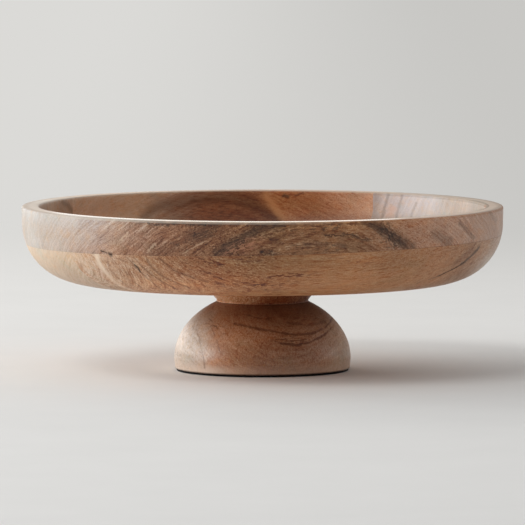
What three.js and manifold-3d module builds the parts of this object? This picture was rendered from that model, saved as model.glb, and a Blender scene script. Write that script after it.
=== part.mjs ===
// Footed wooden serving bowl, in millimetres with +Z up.
//
// A wide shallow bowl is turned from a blank of two glued courses. Each course is three solid boards laid side
// by side along X, with the seams of one course staggered against the other's. The hollow cuts the middle board
// of the upper course in two. The bowl stands on a flared neck and a domed foot. A screw from below pulls them
// together, and a thin pad covers its counterbore. The origin is the centre of the face that the foot rests on.

import * as THREE from 'three';
import { mergeVertices } from 'three/addons/utils/BufferGeometryUtils.js';
import Module from 'manifold-3d';

const wasm = await Module();
wasm.setup();

// Bowl, outside
const rimRadius = 178;
const bowlHeight = 56.8;
const wallLean = THREE.MathUtils.degToRad( 1.1 );
const sideCurveRadius = 43;
const underCurveRadius = 62;
const curvesMeetAt = THREE.MathUtils.degToRad( 22 );

// Bowl, inside
const rimWidth = 13;
const rimRounding = 1.6;
const floorThickness = 14.8;
const insideCurveRadius = 30;

// Boards: the height of the upper course, and where the seams lie across the grain
const upperCourseHeight = 24;
const upperSeams = { front: - 27, back: 116.5 };
const lowerSeams = { front: - 67, back: 73 };

// Neck
const neckHeight = 14.1;
const waistRadius = 33.7;
const neckTopRadius = 45.5;
const neckStartLean = THREE.MathUtils.degToRad( 38 );
const neckLipHeight = 1;
const neckLipWidth = 0.4;
const bowlSpigot = { radius: 20, length: 4 };
const footSpigot = { radius: 16, length: 8 };

// Foot
const footHeight = 49.6;
const footWidestRadius = 65.3;
const footWidestHeight = 7.5;
const footBaseRadius = 64.6;
const counterboreRadius = 12;
const counterboreDepth = 18;

// Screw, washer and pad
const shankRadius = 3;
const screwBite = 12;
const screwPoint = 6;
const headRadius = 6.5;
const headHeight = 4;
const headCrown = 1.2;
const recessArm = 6;
const recessWidth = 1.6;
const recessDepth = 2.2;
const washerRadius = 10;
const washerThickness = 1.5;
const padThickness = 1.5;
const padInset = 1;

// Room left round what fits inside another piece
const fitGap = 0.3;

// Steps of each turned surface
const bowlSegments = 96;
const footSegments = 60;
const hardwareSegments = 24;

// Heights above the resting face
const footBottom = padThickness;
const footTop = footBottom + footHeight;
const bowlBottom = footTop + neckHeight;
const rimTop = bowlBottom + bowlHeight;
const floorTop = bowlBottom + floorThickness;
const glueHeight = rimTop - upperCourseHeight;
const counterboreTop = footBottom + counterboreDepth;
const screwTip = bowlBottom + screwBite;
const washerBottom = counterboreTop - washerThickness;

const wood = {
	upperFront: { color: 0xa9805f, roughness: 0.5 },
	upperMiddle: { color: 0xc2a384, roughness: 0.5 },
	upperBack: { color: 0x8a6146, roughness: 0.5 },
	lowerFront: { color: 0xa5784f, roughness: 0.5 },
	lowerMiddle: { color: 0xb48a66, roughness: 0.5 },
	lowerBack: { color: 0x9a6f4d, roughness: 0.5 },
	neck: { color: 0x8f6344, roughness: 0.5 },
	foot: { color: 0xa27553, roughness: 0.45 }
};
const steel = { color: 0x9a9a98, roughness: 0.35, metalness: 1 };
const pad = { color: 0x151412, roughness: 0.95 };

// Points of an arc round a centre, from one angle to another
function arc( centreR, centreZ, radius, from, to, steps ) {

	const points = [];

	for ( let i = 0; i <= steps; i ++ ) {

		const angle = THREE.MathUtils.lerp( from, to, i / steps );
		const r = centreR + radius * Math.cos( angle );
		const z = centreZ + radius * Math.sin( angle );
		points.push( new THREE.Vector2( r, z ) );

	}

	return points;

}

// A closed turned solid round +Z from ( radius, height ) points that run upwards on the outside
function turned( points, segments ) {

	const distinct = points.filter( ( p, i ) => i === 0 || p.distanceTo( points[ i - 1 ] ) > 1e-4 );
	const geometry = new THREE.LatheGeometry( distinct, segments );
	geometry.rotateX( Math.PI / 2 );
	return solid( geometry );

}

// A manifold solid from a geometry, with its faces turned outwards
function solid( geometry ) {

	geometry.deleteAttribute( 'normal' );
	geometry.deleteAttribute( 'uv' );
	const merged = mergeVertices( geometry, 1e-4 );
	const position = merged.getAttribute( 'position' ).array;
	const corners = merged.index.array;
	const triangles = [];
	let volume = 0;

	for ( let i = 0; i < corners.length; i += 3 ) {

		const [ a, b, c ] = [ corners[ i ], corners[ i + 1 ], corners[ i + 2 ] ];

		if ( a === b || b === c || a === c ) continue;

		const [ pa, pb, pc ] = [ a, b, c ].map( ( n ) => new THREE.Vector3().fromArray( position, 3 * n ) );
		volume += pa.dot( pb.cross( pc ) );
		triangles.push( a, b, c );

	}

	if ( volume < 0 ) triangles.reverse();

	return new wasm.Manifold( new wasm.Mesh( {
		numProp: 3,
		vertProperties: Float32Array.from( position ),
		triVerts: Uint32Array.from( triangles )
	} ) );

}

// A box solid between two corners
function block( low, high ) {

	const size = high.clone().sub( low );
	const centre = low.clone().add( high ).multiplyScalar( 0.5 );
	const geometry = new THREE.BoxGeometry( size.x, size.y, size.z );
	geometry.translate( centre.x, centre.y, centre.z );
	return solid( geometry );

}

// The turned solid of a plain cylinder round +Z
function rod( radius, bottom, top, segments ) {

	return turned( [
		new THREE.Vector2( 0, bottom ),
		new THREE.Vector2( radius, bottom ),
		new THREE.Vector2( radius, top ),
		new THREE.Vector2( 0, top )
	], segments );

}

// The outline of the bowl: up the underside and the outer wall, over the rim, down the inner wall to the floor
function bowlOutline() {

	const quarter = Math.PI / 2;
	const wallAngle = - wallLean;
	const meetAngle = curvesMeetAt - quarter;
	const sideCurveTop = sideCurveRadius * Math.sin( wallAngle );
	const sideCurveDrop = sideCurveTop - sideCurveRadius * Math.sin( meetAngle );
	const underCurveDrop = underCurveRadius * ( 1 - Math.cos( curvesMeetAt ) );
	const wallFoot = bowlBottom + underCurveDrop + sideCurveDrop;
	const wallFootRadius = rimRadius - ( rimTop - wallFoot ) * Math.tan( wallLean );
	const sideR = wallFootRadius - sideCurveRadius * Math.cos( wallAngle );
	const sideZ = wallFoot - sideCurveTop;
	const meetR = sideR + sideCurveRadius * Math.cos( meetAngle );
	const underR = meetR - underCurveRadius * Math.cos( meetAngle );
	const underZ = bowlBottom + underCurveRadius;

	const round = rimRounding;
	const innerRadius = rimRadius - rimWidth;
	const insideR = innerRadius - insideCurveRadius;
	const insideZ = floorTop + insideCurveRadius;

	return [
		new THREE.Vector2( 0, bowlBottom ),
		...arc( underR, underZ, underCurveRadius, - quarter, meetAngle, 4 ),
		...arc( sideR, sideZ, sideCurveRadius, meetAngle, wallAngle, 8 ),
		...arc( rimRadius - round, rimTop - round, round, 0, quarter, 2 ),
		...arc( innerRadius + round, rimTop - round, round, quarter, 2 * quarter, 2 ),
		...arc( insideR, insideZ, insideCurveRadius, 0, - quarter, 6 ),
		new THREE.Vector2( 0, floorTop )
	];

}

// The part of the turned bowl that one board makes: between two heights and two seams
function board( bowl, bottom, top, front, back ) {

	const reach = rimRadius + 10;
	const low = new THREE.Vector3( - reach, front ?? - reach, bottom ?? bowlBottom - 10 );
	const high = new THREE.Vector3( reach, back ?? reach, top ?? rimTop + 10 );
	return bowl.intersect( block( low, high ) );

}

// A seam plane and the glue plane are met exactly, so each vertex within a hair of one is set on it
function snapped( vertices, planes ) {

	const hair = 1e-3;

	for ( const { axis, at } of planes ) {

		for ( let i = axis; i < vertices.length; i += 3 ) {

			if ( Math.abs( vertices[ i ] - at ) < hair ) vertices[ i ] = at;

		}

	}

	return vertices;

}

// A named mesh from a manifold solid
function piece( name, body, finish, planes = [] ) {

	const mesh = body.getMesh();
	const geometry = new THREE.BufferGeometry();
	const vertices = snapped( Float32Array.from( mesh.vertProperties ), planes );
	geometry.setAttribute( 'position', new THREE.BufferAttribute( vertices, 3 ) );
	geometry.setIndex( new THREE.BufferAttribute( mesh.triVerts, 1 ) );
	geometry.computeVertexNormals();
	const result = new THREE.Mesh( geometry, new THREE.MeshStandardMaterial( finish ) );
	result.name = name;
	return result;

}

// The seven boards of the bowl
function boards() {

	const bowl = turned( bowlOutline(), bowlSegments );
	const glue = { axis: 2, at: glueHeight };
	const seam = ( at ) => ( { axis: 1, at } );
	const group = new THREE.Group();

	const rimFront = board( bowl, glueHeight, null, null, upperSeams.front );
	const rimBack = board( bowl, glueHeight, null, upperSeams.back, null );
	const rimMiddle = board( bowl, glueHeight, null, upperSeams.front, upperSeams.back );
	const leftEnd = ( body ) => body.boundingBox().min[ 0 ];
	const [ rimLeft, rimRight ] = rimMiddle.decompose().sort( ( a, b ) => leftEnd( a ) - leftEnd( b ) );

	const baseFront = board( bowl, null, glueHeight, null, lowerSeams.front );
	const baseBack = board( bowl, null, glueHeight, lowerSeams.back, null );
	const socketTop = bowlBottom + bowlSpigot.length + fitGap;
	const socket = rod( bowlSpigot.radius + fitGap, bowlBottom - 1, socketTop, footSegments );
	const pilot = rod( shankRadius + fitGap, bowlBottom - 1, screwTip + fitGap, hardwareSegments );
	const baseMiddle = board( bowl, null, glueHeight, lowerSeams.front, lowerSeams.back )
		.subtract( socket )
		.subtract( pilot );

	group.add( piece( 'rim_board_front', rimFront, wood.upperFront, [ glue, seam( upperSeams.front ) ] ) );
	group.add( piece( 'rim_board_left', rimLeft, wood.upperMiddle,
		[ glue, seam( upperSeams.front ), seam( upperSeams.back ) ] ) );
	group.add( piece( 'rim_board_right', rimRight, wood.upperMiddle,
		[ glue, seam( upperSeams.front ), seam( upperSeams.back ) ] ) );
	group.add( piece( 'rim_board_back', rimBack, wood.upperBack, [ glue, seam( upperSeams.back ) ] ) );
	group.add( piece( 'base_board_front', baseFront, wood.lowerFront, [ glue, seam( lowerSeams.front ) ] ) );
	group.add( piece( 'base_board_middle', baseMiddle, wood.lowerMiddle,
		[ glue, seam( lowerSeams.front ), seam( lowerSeams.back ) ] ) );
	group.add( piece( 'base_board_back', baseBack, wood.lowerBack, [ glue, seam( lowerSeams.back ) ] ) );
	return group;

}

// The flared neck, with a small lip at its foot and a spigot at each end
function neckBlock() {

	const flareFoot = footTop + neckLipHeight;
	const halfFlare = 0.5 * ( bowlBottom - flareFoot );
	const flare = new THREE.QuadraticBezierCurve(
		new THREE.Vector2( waistRadius, flareFoot ),
		new THREE.Vector2( waistRadius + halfFlare * Math.tan( neckStartLean ), flareFoot + halfFlare ),
		new THREE.Vector2( neckTopRadius, bowlBottom )
	);
	const lip = neckLipWidth;
	const body = turned( [
		new THREE.Vector2( 0, footTop - footSpigot.length ),
		new THREE.Vector2( footSpigot.radius, footTop - footSpigot.length ),
		new THREE.Vector2( footSpigot.radius, footTop ),
		new THREE.Vector2( waistRadius, footTop ),
		new THREE.Vector2( waistRadius + lip, footTop + 0.5 * neckLipHeight ),
		...flare.getPoints( 5 ),
		new THREE.Vector2( bowlSpigot.radius, bowlBottom ),
		new THREE.Vector2( bowlSpigot.radius, bowlBottom + bowlSpigot.length ),
		new THREE.Vector2( 0, bowlBottom + bowlSpigot.length )
	], footSegments );
	return piece( 'neck_block', body.subtract( screwHole() ), wood.neck );

}

// The clearance hole for the screw, longer than any block that it goes through
function screwHole() {

	return rod( shankRadius + fitGap, 0, rimTop, hardwareSegments );

}

// The domed foot: a quarter ellipse from its widest ring to the waist, drawn in a little below that ring
function footBlock() {

	const waistAngle = Math.acos( waistRadius / footWidestRadius );
	const ringHeight = footBottom + footWidestHeight;
	const domeHeight = ( footTop - ringHeight ) / Math.sin( waistAngle );
	const domeSteps = 12;
	const dome = [];

	for ( let i = 0; i <= domeSteps; i ++ ) {

		const angle = waistAngle * i / domeSteps;
		const r = footWidestRadius * Math.cos( angle );
		dome.push( new THREE.Vector2( r, ringHeight + domeHeight * Math.sin( angle ) ) );

	}

	const body = turned( [
		new THREE.Vector2( 0, footBottom ),
		new THREE.Vector2( footBaseRadius, footBottom ),
		...dome,
		new THREE.Vector2( 0, footTop )
	], footSegments );
	const socketBottom = footTop - footSpigot.length - fitGap;
	const socket = rod( footSpigot.radius + fitGap, socketBottom, footTop + 1, footSegments );
	const counterbore = rod( counterboreRadius, 0, counterboreTop, footSegments );
	const bored = body.subtract( socket ).subtract( counterbore ).subtract( screwHole() );
	return piece( 'foot_block', bored, wood.foot );

}

// The screw: a crowned head with a crossed recess under the washer, and a shank that ends in a point
function fixingScrew() {

	const headBottom = washerBottom - headHeight;
	const body = turned( [
		new THREE.Vector2( 0, headBottom - headCrown ),
		new THREE.Vector2( 0.6 * headRadius, headBottom - 0.7 * headCrown ),
		new THREE.Vector2( headRadius, headBottom + headCrown ),
		new THREE.Vector2( headRadius, washerBottom ),
		new THREE.Vector2( shankRadius, washerBottom ),
		new THREE.Vector2( shankRadius, screwTip - screwPoint ),
		new THREE.Vector2( 0, screwTip )
	], hardwareSegments );
	const recess = ( x, y ) => block(
		new THREE.Vector3( - x / 2, - y / 2, headBottom - headCrown - 1 ),
		new THREE.Vector3( x / 2, y / 2, headBottom - headCrown + recessDepth )
	);
	const cut = recess( recessArm, recessWidth ).add( recess( recessWidth, recessArm ) );
	return piece( 'fixing_screw', body.subtract( cut ), steel );

}

// The flat washer between the screw's head and the counterbore's end
function screwWasher() {

	const hole = shankRadius + fitGap;
	const body = turned( [
		new THREE.Vector2( hole, washerBottom ),
		new THREE.Vector2( washerRadius, washerBottom ),
		new THREE.Vector2( washerRadius, counterboreTop ),
		new THREE.Vector2( hole, counterboreTop ),
		new THREE.Vector2( hole, washerBottom )
	], hardwareSegments );
	return piece( 'screw_washer', body, steel );

}

// The thin pad that the foot rests on
function footPad() {

	return piece( 'foot_pad', rod( footBaseRadius - padInset, 0, padThickness, footSegments ), pad );

}

const bowlOnFoot = new THREE.Group();
bowlOnFoot.add( boards(), neckBlock(), footBlock(), fixingScrew(), screwWasher(), footPad() );

export default bowlOnFoot;
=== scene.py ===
# %% [markdown]
# A footed wooden serving bowl, about 14 inches across.
# The bowl is turned on a lathe from boards glued side by side in two courses. It stands on a flared neck and a
# domed foot with a thin black pad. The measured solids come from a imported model, the frame. This script gives
# each board and block a smooth mesh and a wood of its own, then sets a pale studio round them.

import math

import bmesh
import bpy
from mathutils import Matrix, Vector


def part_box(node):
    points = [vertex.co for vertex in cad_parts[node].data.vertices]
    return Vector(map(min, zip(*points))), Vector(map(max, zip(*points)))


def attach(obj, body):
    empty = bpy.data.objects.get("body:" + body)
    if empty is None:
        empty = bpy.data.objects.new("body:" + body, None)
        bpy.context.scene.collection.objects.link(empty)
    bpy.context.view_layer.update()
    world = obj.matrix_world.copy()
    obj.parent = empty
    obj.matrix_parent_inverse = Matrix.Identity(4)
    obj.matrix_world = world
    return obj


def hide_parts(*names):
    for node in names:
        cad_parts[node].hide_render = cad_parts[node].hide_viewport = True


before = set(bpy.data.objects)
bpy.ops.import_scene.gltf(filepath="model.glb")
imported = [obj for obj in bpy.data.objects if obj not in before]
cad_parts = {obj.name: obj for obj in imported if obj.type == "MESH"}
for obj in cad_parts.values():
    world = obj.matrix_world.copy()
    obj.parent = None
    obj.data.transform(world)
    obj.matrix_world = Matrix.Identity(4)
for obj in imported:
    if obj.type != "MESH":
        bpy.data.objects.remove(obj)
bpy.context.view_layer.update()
print("frame nodes:", ", ".join(sorted(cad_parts)))

# %% [markdown]
# The frame gives every height and seam, so nothing here is fitted by eye. A node's box is its lowest and highest
# corner in metres. The rim boards give the rim and the glue plane between the courses, the base boards give the
# underside, and the edges of the boards across the grain are the seams.

# %% Read the sizes from the frame
MM = 0.001


def low(node, axis):
    """The lowest coordinate of a node along an axis, in millimetres."""
    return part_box(node)[0]["xyz".index(axis)] / MM


def high(node, axis):
    """The highest coordinate of a node along an axis, in millimetres."""
    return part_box(node)[1]["xyz".index(axis)] / MM


rim_radius = -low("rim_board_front", "y")
rim_top = high("rim_board_front", "z")
glue_height = low("rim_board_front", "z")
bowl_bottom = low("base_board_front", "z")
foot_top = high("foot_block", "z")
foot_bottom = low("foot_block", "z")
foot_radius = high("foot_block", "x")
upper_seams = (high("rim_board_front", "y"), low("rim_board_back", "y"))
lower_seams = (high("base_board_front", "y"), low("base_board_back", "y"))
print("rim radius", round(rim_radius, 1), "rim top", round(rim_top, 1), "seams", upper_seams, lower_seams)

# %% [markdown]
# A turned surface is an outline spun round the axis. The outline of the bowl is a few arcs: a flat underside, a
# gentle curve, a tighter one up to the wall, a softened rim, and the same again inside. Arcs keep the outline
# short to write and smooth at any number of steps. In the middle of the underside are the socket for the neck and
# the pilot hole for the screw. The spigots and the screw have the same small gap all round them.

# %% Outlines of the turned pieces
quarter = math.pi / 2
rim_width = 13.0
rim_rounding = 1.6
floor_thickness = 14.8
wall_lean = math.radians(1.1)
side_curve = 43.0
under_curve = 62.0
curves_meet = math.radians(22)
inside_curve = 30.0
fit_gap = 0.3
shank_radius = 3.0
spigot_radius = 20.0
spigot_length = 4.0
hole_radius = shank_radius + fit_gap
socket_radius = spigot_radius + fit_gap
socket_top = bowl_bottom + spigot_length + fit_gap
pilot_top = high("fixing_screw", "z") + fit_gap
floor_top = bowl_bottom + floor_thickness
inner_radius = rim_radius - rim_width
inside_centre = (inner_radius - inside_curve, floor_top + inside_curve)


def arc(centre, radius, start, end, steps, tall=None):
    """Points of an arc as (distance from the axis, height). With tall it is an ellipse's, that high at its middle."""
    angles = [start + (end - start) * i / steps for i in range(steps + 1)]
    tall = radius if tall is None else tall
    return [(centre[0] + radius * math.cos(a), centre[1] + tall * math.sin(a)) for a in angles]


def run(start, end, steps):
    """Points between two outline points, without the ends."""
    return [tuple(s + (e - s) * i / steps for s, e in zip(start, end)) for i in range(1, steps)]


def bowl_outline():
    """Up the underside and the outer wall, over the rim, down the inner wall and in along the floor."""
    meet = curves_meet - quarter
    side_top = -side_curve * math.sin(wall_lean)
    side_drop = side_top - side_curve * math.sin(meet)
    under_drop = under_curve * (1 - math.cos(curves_meet))
    wall_foot = bowl_bottom + under_drop + side_drop
    wall_foot_radius = rim_radius - (rim_top - wall_foot) * math.tan(wall_lean)
    side_centre = (wall_foot_radius - side_curve * math.cos(wall_lean), wall_foot - side_top)
    meet_radius = side_centre[0] + side_curve * math.cos(meet)
    under_centre = (meet_radius - under_curve * math.cos(meet), bowl_bottom + under_curve)

    under = arc(under_centre, under_curve, -quarter, meet, 10)
    side = arc(side_centre, side_curve, meet, -wall_lean, 26)
    outer_round = arc((rim_radius - rim_rounding, rim_top - rim_rounding), rim_rounding, 0, quarter, 6)
    inner_round = arc((inner_radius + rim_rounding, rim_top - rim_rounding), rim_rounding, quarter, math.pi, 6)
    inside = arc(inside_centre, inside_curve, 0, -quarter, 18)
    return [
        (0, pilot_top),
        (hole_radius, pilot_top),
        (hole_radius, socket_top),
        (socket_radius, socket_top),
        (socket_radius, bowl_bottom),
        *run((socket_radius, bowl_bottom), under[0], 8),
        *under,
        *side[1:],
        *run(side[-1], outer_round[0], 4),
        *outer_round,
        *run(outer_round[-1], inner_round[0], 3),
        *inner_round,
        *run(inner_round[-1], inside[0], 4),
        *inside,
        *run(inside[-1], (0, floor_top), 8),
        (0, floor_top),
    ]


print("bowl outline points:", len(bowl_outline()))

# %% [markdown]
# Spinning is done in mesh code, so that every board can be cut out of the same solid afterwards. Points on the
# axis become one vertex each, and the strips beside them are triangles. The result is closed, which the cuts need.

# %% Turn an outline into a closed mesh
def turned(outline, segments):
    """A closed bmesh in metres: the outline, in millimetres, spun round the Z axis."""
    mesh = bmesh.new()
    turns = [2 * math.pi * i / segments for i in range(segments)]
    rings = []
    for radius, height in outline:
        angles = turns if radius > 1e-6 else [0]
        across = radius * MM
        rings.append([mesh.verts.new((across * math.cos(t), across * math.sin(t), height * MM)) for t in angles])
    for lower, upper in zip(rings, rings[1:] + rings[:1]):
        for i in range(segments):
            j = (i + 1) % segments
            corners = [lower[i % len(lower)], lower[j % len(lower)], upper[j % len(upper)], upper[i % len(upper)]]
            distinct = [v for k, v in enumerate(corners) if v not in corners[:k]]
            if len(distinct) > 2:
                mesh.faces.new(distinct)
    bmesh.ops.recalc_face_normals(mesh, faces=mesh.faces[:])
    return mesh


def sliced(mesh, point, normal):
    """Cuts away what lies on the side that normal points to, and closes the cut."""
    parts = mesh.verts[:] + mesh.edges[:] + mesh.faces[:]
    made = bmesh.ops.bisect_plane(
        mesh, geom=parts, dist=1e-8, plane_co=point, plane_no=normal, clear_outer=True
    )["geom_cut"]
    edges = [e for e in made if isinstance(e, bmesh.types.BMEdge)]
    if edges:
        bmesh.ops.triangle_fill(mesh, use_beauty=True, use_dissolve=False, edges=edges, normal=normal)
    return mesh


def mesh_data(name, mesh):
    data = bpy.data.meshes.new(name)
    mesh.to_mesh(data)
    mesh.free()
    return data


def linked(name, data):
    """A new object in the scene."""
    thing = bpy.data.objects.new(name, data)
    bpy.context.scene.collection.objects.link(thing)
    return thing


pieces = []
sharp_angle = math.radians(32)


def placed(name, mesh, node, slot):
    """An object from a bmesh, which stands for a node of the frame and rides on its body."""
    bmesh.ops.recalc_face_normals(mesh, faces=mesh.faces[:])
    data = mesh_data(name, mesh)
    data.polygons.foreach_set("use_smooth", [True] * len(data.polygons))
    data.set_sharp_from_angle(angle=sharp_angle)
    piece = linked(name, data)
    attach(piece, "root")
    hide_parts(node)
    pieces.append((piece, slot))
    print(name, len(data.vertices), "vertices")


# %% [markdown]
# The photograph looks along a line turned a little from the grain. The view's own directions, right and away, are
# used for the camera, the lamps and the slight slope of the glue line, which comes from a blank that sat a degree
# out of true on the lathe.

# %% The direction of the view
view_turn = math.radians(14.6)
to_right = Vector((math.cos(view_turn), -math.sin(view_turn), 0))
to_back = Vector((math.sin(view_turn), math.cos(view_turn), 0))


def in_view(right, away, up):
    """A point given from the view's side, in metres, in the frame's own axes."""
    return to_right * right + to_back * away + Vector((0, 0, up))


glue_slope = 0.02
glue_normal = (Vector((0, 0, 1)) - to_right * glue_slope).normalized()
glue_point = Vector((0, 0, glue_height * MM))

# %% [markdown]
# Seven boards make the bowl. On the real one the blank is glued first and turned afterwards, and the meshes are
# made in that order too: the whole bowl is spun, then each board is what is left between its seams. All outlines
# meet exactly, because they come from the same cut.

# %% Cut the boards
bowl_segments = 384


def board(name, course, seams, slot, side=0):
    """One board of the bowl. course is 1 for the upper one and -1 for the lower, seams are its front and back
    planes, and side is 1 or -1 for a board of which the hollow leaves two parts."""
    mesh = turned(bowl_outline(), bowl_segments)
    sliced(mesh, glue_point, glue_normal * -course)
    front, back = seams
    if front is not None:
        sliced(mesh, Vector((0, front * MM, 0)), Vector((0, -1, 0)))
    if back is not None:
        sliced(mesh, Vector((0, back * MM, 0)), Vector((0, 1, 0)))
    if side:
        sliced(mesh, Vector((0, 0, 0)), Vector((-side, 0, 0)))
    placed(name.replace("board", "plank"), mesh, name, slot)


board("rim_board_front", 1, (None, upper_seams[0]), "rim_front_wood")
board("rim_board_left", 1, upper_seams, "rim_middle_wood", -1)
board("rim_board_right", 1, upper_seams, "rim_middle_wood", 1)
board("rim_board_back", 1, (upper_seams[1], None), "rim_back_wood")
board("base_board_front", -1, (None, lower_seams[0]), "base_front_wood")
board("base_board_middle", -1, lower_seams, "base_middle_wood")
board("base_board_back", -1, (lower_seams[1], None), "base_back_wood")

# %% [markdown]
# The neck flares from a small rounded lip up to the bowl, and has a spigot at each end. The foot is a dome, a
# quarter of an ellipse, drawn in a little under its widest ring, with a wide bore from below. Both are spun like
# the bowl, from outlines that start and end at the screw's hole.

# %% Turn the neck and the foot
foot_segments = 256
waist_radius = 33.7
neck_top_radius = 45.5
neck_start_lean = math.radians(38)
lip_height = 1.0
lip_width = 0.4
foot_spigot_radius = 16.0
foot_widest_height = 7.5
foot_base_radius = 64.6
base_rounding = 0.8
counterbore_radius = 12.0


def neck_outline():
    """The lower spigot, the rounded lip, the flare and the upper spigot."""
    bottom = low("neck_block", "z")
    top = high("neck_block", "z")
    flare_foot = foot_top + lip_height
    rise = bowl_bottom - flare_foot
    middle = (waist_radius + 0.5 * rise * math.tan(neck_start_lean), flare_foot + 0.5 * rise)
    flare = []
    for i in range(25):
        t = i / 24
        flare.append(tuple(
            (1 - t) ** 2 * a + 2 * t * (1 - t) * b + t * t * c
            for a, b, c in zip((waist_radius, flare_foot), middle, (neck_top_radius, bowl_bottom))
        ))
    lip = arc((waist_radius, foot_top + lip_height / 2), lip_width, -quarter, quarter, 8, lip_height / 2)
    return [
        (hole_radius, bottom),
        (foot_spigot_radius, bottom),
        (foot_spigot_radius, foot_top),
        *lip[:-1],
        *flare,
        (spigot_radius, bowl_bottom),
        (spigot_radius, top),
        (hole_radius, top),
    ]


def foot_outline():
    """The base with a softened edge, the dome up to the waist, and the flat top."""
    waist_angle = math.acos(waist_radius / foot_radius)
    ring = foot_bottom + foot_widest_height
    tall = (foot_top - ring) / math.sin(waist_angle)
    edge = arc((foot_base_radius - base_rounding, foot_bottom + base_rounding), base_rounding, -quarter, 0, 4)
    dome = arc((0, ring), foot_radius, 0, waist_angle, 40, tall)
    washer_top = high("screw_washer", "z")
    foot_socket_radius = foot_spigot_radius + fit_gap
    foot_socket_bottom = low("neck_block", "z") - fit_gap
    return [
        (counterbore_radius, washer_top),
        (counterbore_radius, foot_bottom),
        *edge,
        *dome,
        (foot_socket_radius, foot_top),
        (foot_socket_radius, foot_socket_bottom),
        (hole_radius, foot_socket_bottom),
        (hole_radius, washer_top),
    ]


placed("turned_neck", turned(neck_outline(), foot_segments), "neck_block", "neck_wood")
placed("turned_foot", turned(foot_outline(), foot_segments), "foot_block", "foot_wood")

# %% [markdown]
# Under the foot is a thin pad with a softened edge. Inside, a washer and a screw hold the three turned parts
# together. The screw's head is crowned and has a crossed recess, which is cut out of it. Its thread is a ridge
# that climbs one pitch in each turn, starts above a plain length of shank and runs out to a point.

# %% Pad, washer and screw
pad_radius = high("foot_pad", "x")
washer_radius = high("screw_washer", "x")
head_radius = high("fixing_screw", "x")
head_crown = 1.2
head_bevel = 0.2
recess_arm = 6.0
recess_width = 1.6
recess_depth = 2.2
plain_length = 12.0
point_length = 6.0
thread_pitch = 2.4
thread_depth = 0.7
ridge_width = 0.56 * thread_pitch
edge_easing = 0.4
hole_easing = 0.3
head_segments = 96
washer_segments = 128


def pad_outline():
    top = high("foot_pad", "z")
    soft = 0.35
    lower = arc((pad_radius - soft, soft), soft, -quarter, 0, 4)
    upper = arc((pad_radius - soft, top - soft), soft, 0, quarter, 4)
    return [(0, 0), *lower, *upper, (0, top)]


def washer_outline():
    """A stamped ring: its lower edges are eased, its upper ones are sharp."""
    bottom, top = low("screw_washer", "z"), high("screw_washer", "z")
    edge = arc((washer_radius - edge_easing, bottom + edge_easing), edge_easing, -quarter, 0, 4)
    hole = arc((hole_radius + hole_easing, bottom + hole_easing), hole_easing, 2 * quarter, 3 * quarter, 4)
    return [*hole, *edge, (washer_radius, top), (hole_radius, top)]


def head_outline():
    """The head hangs under the washer: a low crown below, flat above."""
    bottom = low("fixing_screw", "z")
    top = low("screw_washer", "z")
    crown = [(head_radius * i / 10, bottom + head_crown * (i / 10) ** 2) for i in range(11)]
    return [*crown, (head_radius, top - head_bevel), (head_radius - head_bevel, top), (0, top)]


def cross(size, width, bottom, top):
    """A closed plus shape, which narrows upwards like the driver that fits it."""
    mesh = bmesh.new()
    layers = []
    for height, share in ((bottom, 1.0), (top, 0.8)):
        far, near = size / 2 * share, width / 2 * share
        corners = [(near, near), (near, far), (-near, far), (-near, near), (-far, near), (-far, -near),
                   (-near, -near), (-near, -far), (near, -far), (near, -near), (far, -near), (far, near)]
        layers.append([mesh.verts.new((x * MM, y * MM, height * MM)) for x, y in corners])
    for i in range(12):
        j = (i + 1) % 12
        mesh.faces.new((layers[0][i], layers[0][j], layers[1][j], layers[1][i]))
    for layer in layers:
        mesh.faces.new(layer)
    bmesh.ops.recalc_face_normals(mesh, faces=mesh.faces[:])
    return mesh


def carved(mesh, tool):
    """What is left of a mesh when a tool shape is taken out of it."""
    pair = [linked(name, mesh_data(name, part)) for name, part in (("carved_whole", mesh), ("carving_tool", tool))]
    cut = pair[0].modifiers.new("cut", "BOOLEAN")
    cut.object = pair[1]
    cut.operation = "DIFFERENCE"
    cut.solver = "EXACT"
    result = bmesh.new()
    result.from_object(pair[0], bpy.context.evaluated_depsgraph_get())
    for thing in pair:
        bpy.data.objects.remove(thing, do_unlink=True)
    return result


def threaded_shank(bottom, top, steps_round=32, rings_per_turn=10):
    """A closed rod with a helical ridge above its plain length, and a point."""
    mesh = bmesh.new()
    count = round((top - bottom) / thread_pitch * rings_per_turn)
    rings = []
    for i in range(count):
        height = bottom + (top - bottom) * i / count
        taper = min(1.0, (top - height) / point_length)
        threaded = height > bottom + plain_length
        ring = []
        for k in range(steps_round):
            turn = 2 * math.pi * k / steps_round
            phase = (height / thread_pitch - k / steps_round) % 1.0
            from_crest = abs(phase - 0.5) * thread_pitch
            ridge = max(0.0, 1 - from_crest / (ridge_width / 2)) if threaded else 1.0
            radius = (shank_radius - thread_depth * (1 - ridge)) * taper
            ring.append(mesh.verts.new((radius * MM * math.cos(turn), radius * MM * math.sin(turn), height * MM)))
        rings.append(ring)
    tip = mesh.verts.new((0, 0, top * MM))
    for lower, upper in zip(rings, rings[1:]):
        for k in range(steps_round):
            j = (k + 1) % steps_round
            mesh.faces.new((lower[k], lower[j], upper[j], upper[k]))
    for k in range(steps_round):
        mesh.faces.new((rings[-1][k], rings[-1][(k + 1) % steps_round], tip))
    mesh.faces.new(rings[0])
    return mesh


def screw_mesh():
    """Head and shank in one bmesh."""
    bottom = low("fixing_screw", "z")
    head_top = low("screw_washer", "z")
    recess = cross(recess_arm, recess_width, bottom - 1.0, bottom + recess_depth)
    mesh = carved(turned(head_outline(), head_segments), recess)
    data = mesh_data("shank", threaded_shank(head_top - 0.1, high("fixing_screw", "z")))
    mesh.from_mesh(data)
    bpy.data.meshes.remove(data)
    return mesh


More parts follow.
